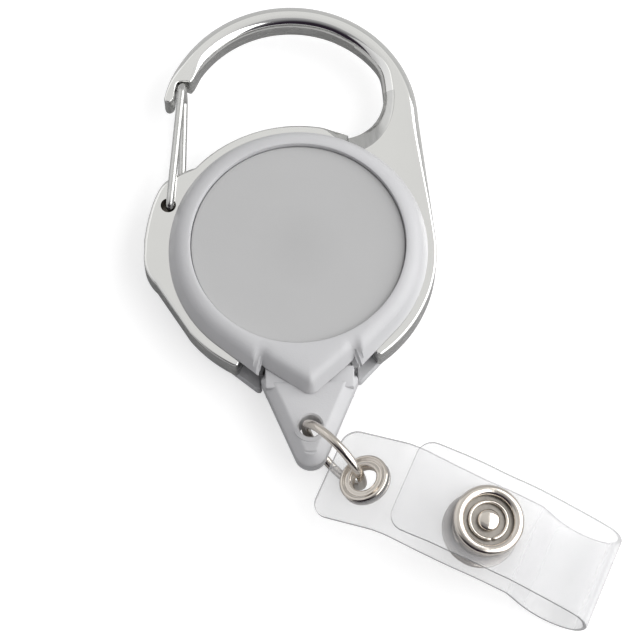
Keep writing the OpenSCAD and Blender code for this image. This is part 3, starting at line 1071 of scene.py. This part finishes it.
def build_cord():
    """The cord: three wound layers, the stretch to the cord end, and the knot in it."""
    radius = settings().cord.cord_diameter / MM / 2
    turns = []
    for layer in range(3):
        for row in range(4):
            reach = 10.42 + (2 * layer + 1) * radius
            height = CORD_HEIGHT + (row - 1.5) * 2 * radius
            angles = [math.radians(a) for a in range(0, 356, 5)]
            turn = [(reach * math.cos(a), reach * math.sin(a), height) for a in angles]
            turns.append(sweep(turn, radius * 0.97, 8, 1))
    placed(piece("wound_cord", joined(*turns), material("cord")), "reel", "cord", "cord_winding")
    route = [(8.6, -9.7), (6.7, -11.3), (4.6, -12.9), (2.6, -14.3), (1.3, -15.0), (0.5, -15.5), (0.12, -16.1),
             (0.04, -16.8), (-0.02, -17.4), (-0.08, -18.4), (-0.16, -19.5)]
    path = [(x, y, CORD_HEIGHT) for x, y in spline(route, 0.12)]
    lead = piece("cord_run", sweep(path, radius * 0.98, 12, 1), material("cord"))
    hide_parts("cord_lead")
    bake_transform(lead)
    kept("cord_knot", "cord")


# ---------------------------------------------------------------- cord end


def docked():
    """The turn of the cord end about its shoulders."""
    pivot = Matrix.Translation((0, -SHOULDER_Y, 0))
    return pivot @ Matrix.Rotation(math.radians(-4), 4, "Z") @ pivot.inverted()


def tip_outline():
    """Outline of the cord end: two small shoulders and a round end."""
    line = arc((-5.3, -16.9), 0.6, 90, 202.6, 10)
    line += arc((0, -25.9), 2.0, 202.6, 337.4, 40)
    line += arc((5.3, -16.9), 0.6, -22.6, 90, 10)
    return np.array(spaced(line, 0.35))


def tip_targets(line):
    """Places inside the cord end that its edges slope towards."""
    y = np.clip(line[:, 1], -24.7, -18.6)
    half = 2.9 * (y + 26.2) / 7.6
    return np.column_stack([np.clip(line[:, 0], -half, half) * 0.9, y])


def tip_shell(front):
    """One half of the cord end, bored for the ring and the cord, and its trim: two prongs and a bead."""
    bevel = settings().cord.bevel_width / MM
    hole = settings().cord.hole_diameter / MM / 2
    line = tip_outline()
    distances = [0.0, 0.05, 0.16, 0.5 * bevel, bevel - 0.06, bevel + 0.08, bevel + 0.25, bevel + 0.4]
    heights = [0.85, 1.0, 1.12, 1.52, 1.9, 2.0, 2.045, TIP_FACE]
    lines = inner_lines(line, tip_targets(line), distances)
    sign = 1 if front else -1
    rings = [at_height(lines[2], CORD_HEIGHT + sign * 0.03), at_height(lines[1], CORD_HEIGHT + sign * 0.04),
             at_height(lines[0], CORD_HEIGHT + sign * 0.12)]
    rings += [at_height(row, CORD_HEIGHT + sign * z) for row, z in zip(lines, heights)]
    shape = skin(rings)
    bmesh.ops.recalc_face_normals(shape, faces=shape.faces)
    shape.transform(docked())
    face = CORD_HEIGHT + sign * TIP_FACE
    bore = lathe([(0, CORD_HEIGHT - sign), (hole, CORD_HEIGHT - sign), (hole, face - sign * 0.22),
                  (hole + 0.22, face + sign * 0.02), (hole + 0.22, face + sign), (0, face + sign)],
                 docked() @ Matrix.Translation((0, TIP_HOLE_Y, 0)), 64)
    entry = sweep(moved([(0, y, CORD_HEIGHT) for y in (-20.5, -19, -17.5, -15)], docked()), 0.5, 20)
    smile = [(x, y, face + sign * 0.1) for x, y in arc((0, -24.35), 2.25, 236, 304, 12)]
    shape = cut(shape, bore, entry, sweep(moved(smile, docked()), 0.26, 12))
    obj = piece("tip_half_front" if front else "tip_half_rear", shape, material("case_plastic"))
    extras = []
    for x in (-3.9, 3.9):
        low, high = CORD_HEIGHT + sign * 0.03, CORD_HEIGHT + sign * 1.95
        prong = soft_box((x - 1.5, -18.2, min(low, high)), (x + 1.5, -15.35, max(low, high)), 0.2)
        prong.transform(docked())
        extras.append(prong)
    bead = [(x, y, face - sign * 0.02) for x, y in arc((0, TIP_HOLE_Y), 2.02, 205, 335, 24)]
    extras.append(sweep(moved(bead, docked()), 0.09, 10))
    trim = piece("tip_trim_front" if front else "tip_trim_rear", joined(*extras), material("case_plastic"))
    placed(trim, "cord_end", "case_plastic")
    return placed(obj, "cord_end", "case_plastic", "tip_front_shell" if front else "tip_rear_shell")


def build_jump_ring():
    """The round wire ring through the cord end and the eyelet, with its split underneath."""
    centre = Vector(RING_CENTRE)
    along = Vector((math.cos(RING_TURN), math.sin(RING_TURN), 0))
    up = Vector((0, 0, 1))
    path = []
    for i in range(129):
        a = math.radians(271.6 + 356.8 * i / 128)
        path.append(centre + RING_RADIUS * (math.cos(a) * along + math.sin(a) * up))
    shape = sweep(path, settings().cord.ring_wire / MM / 2, 28, 2)
    return placed(piece("split_ring", shape, material("nickel")), "ring", "nickel", "jump_ring")


# ---------------------------------------------------------------- strap


def on_strap():
    """The strap's own frame: X along it from the eyelet, Z up."""
    return Matrix.Translation((*EYELET_PLACE, 0)) @ Matrix.Rotation(STRAP_TURN, 4, "Z")


def on_leaf(place, tilt):
    """A frame that stands on a leaf at a distance and a height."""
    return on_strap() @ Matrix.Translation((place[0], 0, place[1])) @ Matrix.Rotation(tilt, 4, "Y")


EYELET_AT = (0.1, 6.55)
FLAP_AT = (15.7, 9.4)
SNAP_AT = (FLAP_AT[0] - 3.5 * math.sin(SNAP_TILT), FLAP_AT[1] - 3.5 * math.cos(SNAP_TILT))
LOWER_LINE = [(-4.6, 4.7), (-3, 5.17), (0.1, 6.55), (3, 7.84), (4.2, 8.1), (5.5, 8.05), (8, 7.4),
              (10.4, 6.77), (19.8, 5.12), (21.2, 4.3), (22.9, 2.3), (25, 0.8), (27.3, 0.35), (29.2, 0.9),
              (30.4, 2.0), (30.7, 2.9)]
FLAP_LINE = [(30.7, 3.3), (30.2, 4.3), (28.8, 5.3), (26.6, 6.3), (24, 7.3), (21, 8.36), (19.6, 8.71),
             (11.5, 10.14), (9, 10.3), (4.9, 10.35)]
FOLD_AT = (30.7, 3.1)


def build_strap():
    """The clear strap: one strip of vinyl, cut flat with its holes, then bent over the fold."""
    strap = settings().strap
    width = strap.width / MM
    thick = strap.thickness / MM
    corner = strap.corner / MM
    centre = np.array(spline(LOWER_LINE + FLAP_LINE, 0.1))
    run = np.concatenate([[0], np.cumsum(np.linalg.norm(np.diff(centre, axis=0), axis=1))])
    total = run[-1]

    def at(place):
        """Distance along the strap of its point nearest to a place."""
        return run[np.linalg.norm(centre - np.array(place), axis=1).argmin()]

    fold = at(FOLD_AT)
    half = width / 2
    outline = []
    for cx, cy, start in ((total - corner, half - corner, 0), (corner, half - corner, 90),
                          (corner, corner - half, 180), (total - corner, corner - half, 270)):
        outline += arc((cx, cy), corner, start, start + 90, 12)
    holes = ((at(EYELET_AT), 0, 2.0), (at(SNAP_AT), 0, 1.3), (at(FLAP_AT), -0.6, 2.9))
    shape = bmesh.new()
    edges = []
    for loop in [outline] + [arc((s, u), r, 0, 354, 59) for s, u, r in holes]:
        corners = [shape.verts.new((x, y, -thick / 2)) for x, y in loop]
        edges += [shape.edges.new((corners[i - 1], corners[i])) for i in range(len(corners))]
    bmesh.ops.triangle_fill(shape, use_beauty=True, use_dissolve=False, edges=edges)
    grown = bmesh.ops.extrude_face_region(shape, geom=shape.faces[:])
    raised = [v for v in grown["geom"] if isinstance(v, bmesh.types.BMVert)]
    bmesh.ops.translate(shape, verts=raised, vec=(0, 0, thick))
    bmesh.ops.recalc_face_normals(shape, faces=shape.faces)
    rim = [e for e in shape.edges if len(e.link_faces) == 2 and e.calc_face_angle(0) > 1.2]
    bmesh.ops.bevel(shape, geom=rim, offset=0.09, segments=2, affect="EDGES", profile=0.5)
    for place in np.arange(0.4, total, 0.42):
        parts = shape.verts[:] + shape.edges[:] + shape.faces[:]
        bmesh.ops.bisect_plane(shape, geom=parts, plane_co=(place, 0, 0), plane_no=(1, 0, 0), dist=0.002)
    for line in (-4.6, -3.0, -1.5, 0.0, 1.5, 3.0, 4.6):
        parts = shape.verts[:] + shape.edges[:] + shape.faces[:]
        bmesh.ops.bisect_plane(shape, geom=parts, plane_co=(0, line, 0), plane_no=(0, 1, 0), dist=0.002)
    walls = [abs(face.normal.z) < 0.75 for face in shape.faces]
    tangent = np.gradient(centre, axis=0)
    tangent /= np.linalg.norm(tangent, axis=1)[:, None]
    snap_low, snap_high = holes[1][0], holes[2][0]
    for vertex in shape.verts:
        s, u, w = vertex.co
        x = np.interp(s, run, centre[:, 0])
        z = np.interp(s, run, centre[:, 1])
        tx = np.interp(s, run, tangent[:, 0])
        tz = np.interp(s, run, tangent[:, 1])
        shift = 0.6 * min(1.0, max(0.0, (s - fold + 2) / 4))
        wave = 0.0
        for middle, reach in ((snap_low, 9.0), (snap_high, 7.5)):
            away = math.hypot(s - middle, u)
            if 4.4 < away < reach:
                turn = math.atan2(u, s - middle)
                wave += 0.09 * math.sin(math.pi * (away - 4.4) / (reach - 4.4)) * math.sin(5 * turn + middle)
        lift = w + wave
        vertex.co = on_strap() @ Vector((x - tz * lift, u + shift, z + tx * lift))
    bmesh.ops.recalc_face_normals(shape, faces=shape.faces)
    obj = piece("vinyl_strap", shape, material("vinyl"))
    # Faces on the strap's cut edges take the darker edge finish, which is painted shade.
    obj.data.materials.append(material("vinyl_edge_painted_shade"))
    for polygon, wall in zip(obj.data.polygons, walls):
        polygon.material_index = 1 if wall else 0
    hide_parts("strap_main", "strap_flap")
    across = Vector((0.230, 0, 0.973))
    crease = Vector((FOLD_AT[0], 0, FOLD_AT[1]))
    frame_matrix = on_strap()
    start = frame_matrix @ (crease - 0.3 * across)
    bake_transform(obj)
    return obj


def build_eyelet():
    """The rolled eyelet and the washer under the vinyl."""
    place = on_leaf(EYELET_AT, math.radians(-24))
    outer = settings().strap.eyelet_diameter / MM / 2
    rim = [(1.6, -0.62), (1.6, 0.3), (1.63, 0.43), (1.72, 0.53), (1.86, 0.57), (2.0, 0.54), (2.14, 0.47),
           (2.3, 0.43), (2.46, 0.47), (2.6, 0.56), (2.75, 0.62), (2.9, 0.6), (3.02, 0.52), (outer, 0.41),
           (outer - 0.05, 0.31), (1.97, 0.3), (1.97, -0.5), (2.08, -0.62), (2.18, -0.7), (2.1, -0.77),
           (1.8, -0.74)]
    obj = piece("eyelet_barrel", lathe(rim, place, 96, closed_profile=True), material("nickel"))
    placed(obj, "strap", "nickel", "eyelet")
    ring = [(2.03, -0.6), (2.03, -0.35), (2.1, -0.3), (outer - 0.1, -0.3), (outer, -0.38), (outer, -0.56),
            (outer - 0.1, -0.65), (2.1, -0.65)]
    obj = piece("eyelet_backing", lathe(ring, place, 96, closed_profile=True), material("nickel"))
    placed(obj, "strap", "nickel", "eyelet_washer")


def build_snap():
    """The snap: rolled rim with its post and inner ring, socket, stud and the wide lower flange."""
    upper = on_leaf(FLAP_AT, SNAP_TILT)
    lower = on_leaf(SNAP_AT, SNAP_TILT)
    outer = settings().strap.snap_diameter / MM / 2
    roll = 0.62
    rim = [(outer - roll + roll * math.cos(math.radians(a)), 0.9 + 0.5 * math.sin(math.radians(a)))
           for a in range(0, 360, 15)]
    rolled = lathe(rim, upper, 112, closed_profile=True)
    cup = lathe([(0, 0.4), (3.3, 0.4), (3.3, 0.46), (1.5, 0.44), (0, 0.44)], upper, 96)
    dome = [(0, 0.42), (1.34, 0.42), (1.36, 0.7), (1.3, 0.98), (1.12, 1.14), (0.7, 1.25), (0, 1.29)]
    post = lathe(dome, upper, 64)
    ridge = [(x, y, 0.72) for x, y in arc((0, 0), 2.26, -50, 295, 69)]
    coil = sweep(moved(ridge, upper), 0.22, 14)
    obj = piece("snap_face", joined(rolled, post, coil), material("nickel"))
    placed(obj, "flap", "nickel", "snap_socket_post")
    # The groove's dark finish is painted shade.
    placed(piece("snap_groove", cup, material("nickel_painted_shade")), "flap", "nickel")
    body = [(1.7, -2.2), (1.7, -0.45), (1.8, -0.35), (3.75, -0.35), (3.88, -0.45), (3.9, -1.3), (3.7, -1.9),
            (3.5, -2.15), (3.2, -2.3), (1.8, -2.3)]
    obj = piece("snap_cup", lathe(body, upper, 96, closed_profile=True), material("nickel"))
    placed(obj, "flap", "nickel", "snap_socket")
    stud = [(0, 0.3), (3.5, 0.3), (3.6, 0.4), (3.6, 0.68), (3.45, 0.8), (1.6, 0.8), (1.25, 0.9), (1.1, 1.15),
            (1.2, 1.45), (1.35, 1.72), (1.3, 1.98), (1.05, 2.17), (0.6, 2.25), (0, 2.25)]
    obj = piece("snap_bulb", lathe(stud, lower, 80), material("nickel"))
    placed(obj, "strap", "nickel", "snap_stud")
    flange = [(0, -0.78), (1.5, -0.8), (2.4, -0.85), (4.2, -0.85), (4.55, -0.78), (4.65, -0.65),
              (4.62, -0.48), (4.45, -0.37), (4.2, -0.35), (3.9, -0.38), (3.6, -0.42), (1.25, -0.42),
              (1.2, 0.5), (1.0, 0.68), (0, 0.7)]
    obj = piece("snap_flange", lathe(flange, lower, 112), material("nickel"))
    placed(obj, "strap", "nickel", "snap_stud_cap")
    kept("snap_spring_ring", "steel")


# ---------------------------------------------------------------- stage


def aimed(obj, place, target):
    """Stands an object at a place, with its -Z towards a target."""
    obj.location = place
    obj.rotation_euler = (Vector(target) - Vector(place)).to_track_quat("-Z", "Y").to_euler()


def softbox(name, place, target, size, strength, colour_of_light):
    """A rectangular area light."""
    data = bpy.data.lights.new(name, "AREA")
    data.shape = "RECTANGLE"
    data.size, data.size_y = size
    data.energy = strength
    data.color = colour_of_light
    obj = bpy.data.objects.new(name, data)
    bpy.context.scene.collection.objects.link(obj)
    aimed(obj, place, target)
    return obj


def build_camera():
    """The camera, which looks at the middle of the reel and its strap."""
    stage = settings().stage
    target = Vector((1.95, -8.77, 4.45)) * MM
    direction = Vector((
        math.sin(stage.azimuth) * math.cos(stage.elevation),
        -math.cos(stage.azimuth) * math.cos(stage.elevation),
        math.sin(stage.elevation),
    ))
    data = bpy.data.cameras.new("camera")
    data.lens = stage.lens
    data.sensor_width = 36
    data.clip_start = 0.01
    data.dof.use_dof = False
    camera = bpy.data.objects.new("camera", data)
    bpy.context.scene.collection.objects.link(camera)
    camera.location = target + direction * stage.distance
    camera.rotation_euler = (math.pi / 2 - stage.elevation, 0, stage.azimuth)
    bpy.context.scene.camera = camera


def build_floor():
    """The pale floor, a hair under the back of the case, with a glow that only the camera sees."""
    glow_strength = 0.62
    drop = 0.00003
    shape = bmesh.new()
    bmesh.ops.create_grid(shape, x_segments=8, y_segments=8, size=1500)
    finish = Finish("floor_paper", (0.55, 0.55, 0.55), 0.9)
    paper = finish.ramp(finish.noise(40, 3), [(0.3, 0.54), (0.7, 0.56)])
    finish.link(paper, finish.shader.inputs["Base Color"])
    finish.set("Emission Color", (1, 1, 1, 1))
    seen = finish.add("ShaderNodeLightPath")
    glow = finish.add("ShaderNodeMath", operation="MULTIPLY")
    glow.inputs[1].default_value = glow_strength
    finish.link(seen.outputs["Is Camera Ray"], glow.inputs[0])
    finish.link(glow.outputs["Value"], finish.shader.inputs["Emission Strength"])
    floor = piece("floor", shape, finish.material)
    floor.location.z = -drop


def build_lights():
    """Three softboxes: overhead, on the right and on the left."""
    stage = settings().stage
    middle = (0.0, 0.0, 0.0)
    white = (1.0, 1.0, 1.0)
    warm = (1.0, 0.995, 0.96)
    softbox("overhead", (0.02, 0.2, 0.6), middle, (0.8, 0.6), stage.top_power, warm)
    softbox("right", (0.612, -0.153, 0.493), middle, (1.3, 0.9), stage.key_power, white)
    softbox("fill", (-0.62, 0.2, 0.4), middle, (1.2, 0.8), stage.fill_power, white)


def build_world():
    """The studio round the reel: pale, and dark on the near side."""
    world = bpy.data.worlds.new("studio")
    bpy.context.scene.world = world
    world.use_nodes = True
    nodes, links = world.node_tree.nodes, world.node_tree.links
    coordinates = nodes.new("ShaderNodeTexCoord")
    split = nodes.new("ShaderNodeSeparateXYZ")
    links.new(coordinates.outputs["Generated"], split.inputs["Vector"])
    side = nodes.new("ShaderNodeMath")
    side.operation = "MULTIPLY_ADD"
    side.inputs[1].default_value = 0.13
    side.inputs[2].default_value = 0.5
    links.new(split.outputs["X"], side.inputs[0])
    front = nodes.new("ShaderNodeMath")
    front.operation = "MULTIPLY_ADD"
    front.inputs[1].default_value = 0.3
    links.new(split.outputs["Y"], front.inputs[0])
    links.new(side.outputs["Value"], front.inputs[2])
    ramp = nodes.new("ShaderNodeValToRGB")
    ramp.color_ramp.elements[0].position = 0.25
    ramp.color_ramp.elements[0].color = (0.022, 0.016, 0.026, 1)
    ramp.color_ramp.elements[1].position = 0.85
    ramp.color_ramp.elements[1].color = (0.6, 0.6, 0.6, 1)
    middle = ramp.color_ramp.elements.new(0.38)
    middle.color = (0.34, 0.34, 0.35, 1)
    links.new(front.outputs["Value"], ramp.inputs["Fac"])
    links.new(ramp.outputs["Color"], nodes["Background"].inputs["Color"])
    nodes["Background"].inputs["Strength"].default_value = 1.0


def build_stage():
    """Camera, pale floor, soft lights and the world."""
    build_camera()
    build_floor()
    build_lights()
    build_world()
    bpy.context.scene.view_settings.view_transform = "Standard"


# ---------------------------------------------------------------- operators


class BADGEREEL_OT_frame(bpy.types.Operator):
    """Build the cast carabiner frame"""

    bl_idname = "badge_reel.frame"
    bl_label = "Carabiner Frame"

    def execute(self, context):
        build_carabiner_frame()
        return {"FINISHED"}


class BADGEREEL_OT_gate(bpy.types.Operator):
    """Build the sprung wire gate"""

    bl_idname = "badge_reel.gate"
    bl_label = "Wire Gate"

    def execute(self, context):
        build_gate_wire()
        return {"FINISHED"}


class BADGEREEL_OT_front(bpy.types.Operator):
    """Build the front cover and its label"""

    bl_idname = "badge_reel.front"
    bl_label = "Front Cover and Label"

    def execute(self, context):
        build_front_cover()
        build_label()
        return {"FINISHED"}


class BADGEREEL_OT_back(bpy.types.Operator):
    """Build the back cover"""

    bl_idname = "badge_reel.back"
    bl_label = "Back Cover"

    def execute(self, context):
        build_rear_cover()
        return {"FINISHED"}


class BADGEREEL_OT_works(bpy.types.Operator):
    """Finish the spool, axle and springs"""

    bl_idname = "badge_reel.works"
    bl_label = "Spool and Springs"

    def execute(self, context):
        build_spool_works()
        return {"FINISHED"}


class BADGEREEL_OT_cord(bpy.types.Operator):
    """Build the cord"""

    bl_idname = "badge_reel.cord"
    bl_label = "Cord"

    def execute(self, context):
        build_cord()
        return {"FINISHED"}


class BADGEREEL_OT_cord_end(bpy.types.Operator):
    """Build the two halves of the cord end"""

    bl_idname = "badge_reel.cord_end"
    bl_label = "Cord End"

    def execute(self, context):
        tip_shell(True)
        tip_shell(False)
        return {"FINISHED"}


class BADGEREEL_OT_ring(bpy.types.Operator):
    """Build the jump ring"""

    bl_idname = "badge_reel.ring"
    bl_label = "Jump Ring"

    def execute(self, context):
        build_jump_ring()
        return {"FINISHED"}


class BADGEREEL_OT_strap(bpy.types.Operator):
    """Build the clear folded strap"""

    bl_idname = "badge_reel.strap"
    bl_label = "Strap"

    def execute(self, context):
        build_strap()
        return {"FINISHED"}


class BADGEREEL_OT_metal(bpy.types.Operator):
    """Build the eyelet and the snap"""

    bl_idname = "badge_reel.metal"
    bl_label = "Eyelet and Snap"

    def execute(self, context):
        build_eyelet()
        build_snap()
        return {"FINISHED"}


class BADGEREEL_OT_stage(bpy.types.Operator):
    """Build the camera, the floor and the lights"""

    bl_idname = "badge_reel.stage"
    bl_label = "Stage"

    def execute(self, context):
        build_stage()
        return {"FINISHED"}


class BADGEREEL_PT_panel(bpy.types.Panel):
    """The badge reel's settings and builders"""

    bl_idname = "BADGEREEL_PT_panel"
    bl_label = "Badge Reel"
    bl_space_type = "VIEW_3D"
    bl_region_type = "UI"
    bl_category = "Badge Reel"

    def draw(self, context):
        for group in BadgeReelSettings.__annotations__:
            box = self.layout.box()
            box.label(text=group.replace("_", " ").title())
            values = getattr(settings(), group)
            for name in values.__annotations__:
                box.prop(values, name)
        for operator in OPERATORS:
            self.layout.operator(operator.bl_idname)


OPERATORS = (
    BADGEREEL_OT_stage,
    BADGEREEL_OT_frame,
    BADGEREEL_OT_gate,
    BADGEREEL_OT_front,
    BADGEREEL_OT_back,
    BADGEREEL_OT_works,
    BADGEREEL_OT_cord,
    BADGEREEL_OT_cord_end,
    BADGEREEL_OT_ring,
    BADGEREEL_OT_strap,
    BADGEREEL_OT_metal,
)

CLASSES = (
    CaseSettings,
    CarabinerSettings,
    CordSettings,
    StrapSettings,
    FinishSettings,
    StageSettings,
    BadgeReelSettings,
    *OPERATORS,
    BADGEREEL_PT_panel,
)


def register():
    """Registers the classes and the scene's settings."""
    for entry in CLASSES:
        bpy.utils.register_class(entry)
    bpy.types.Scene.badge_reel = PointerProperty(type=BadgeReelSettings)


def unregister():
    """Removes the settings and the classes."""
    del bpy.types.Scene.badge_reel
    for entry in reversed(CLASSES):
        bpy.utils.unregister_class(entry)


def main():
    """Builds the whole badge reel."""
    register()
    bpy.ops.badge_reel.stage()
    bpy.ops.badge_reel.frame()
    bpy.ops.badge_reel.gate()
    bpy.ops.badge_reel.front()
    bpy.ops.badge_reel.back()
    bpy.ops.badge_reel.works()
    bpy.ops.badge_reel.cord()
    bpy.ops.badge_reel.cord_end()
    bpy.ops.badge_reel.ring()
    bpy.ops.badge_reel.strap()
    bpy.ops.badge_reel.metal()


if __name__ == "__main__":
    main()
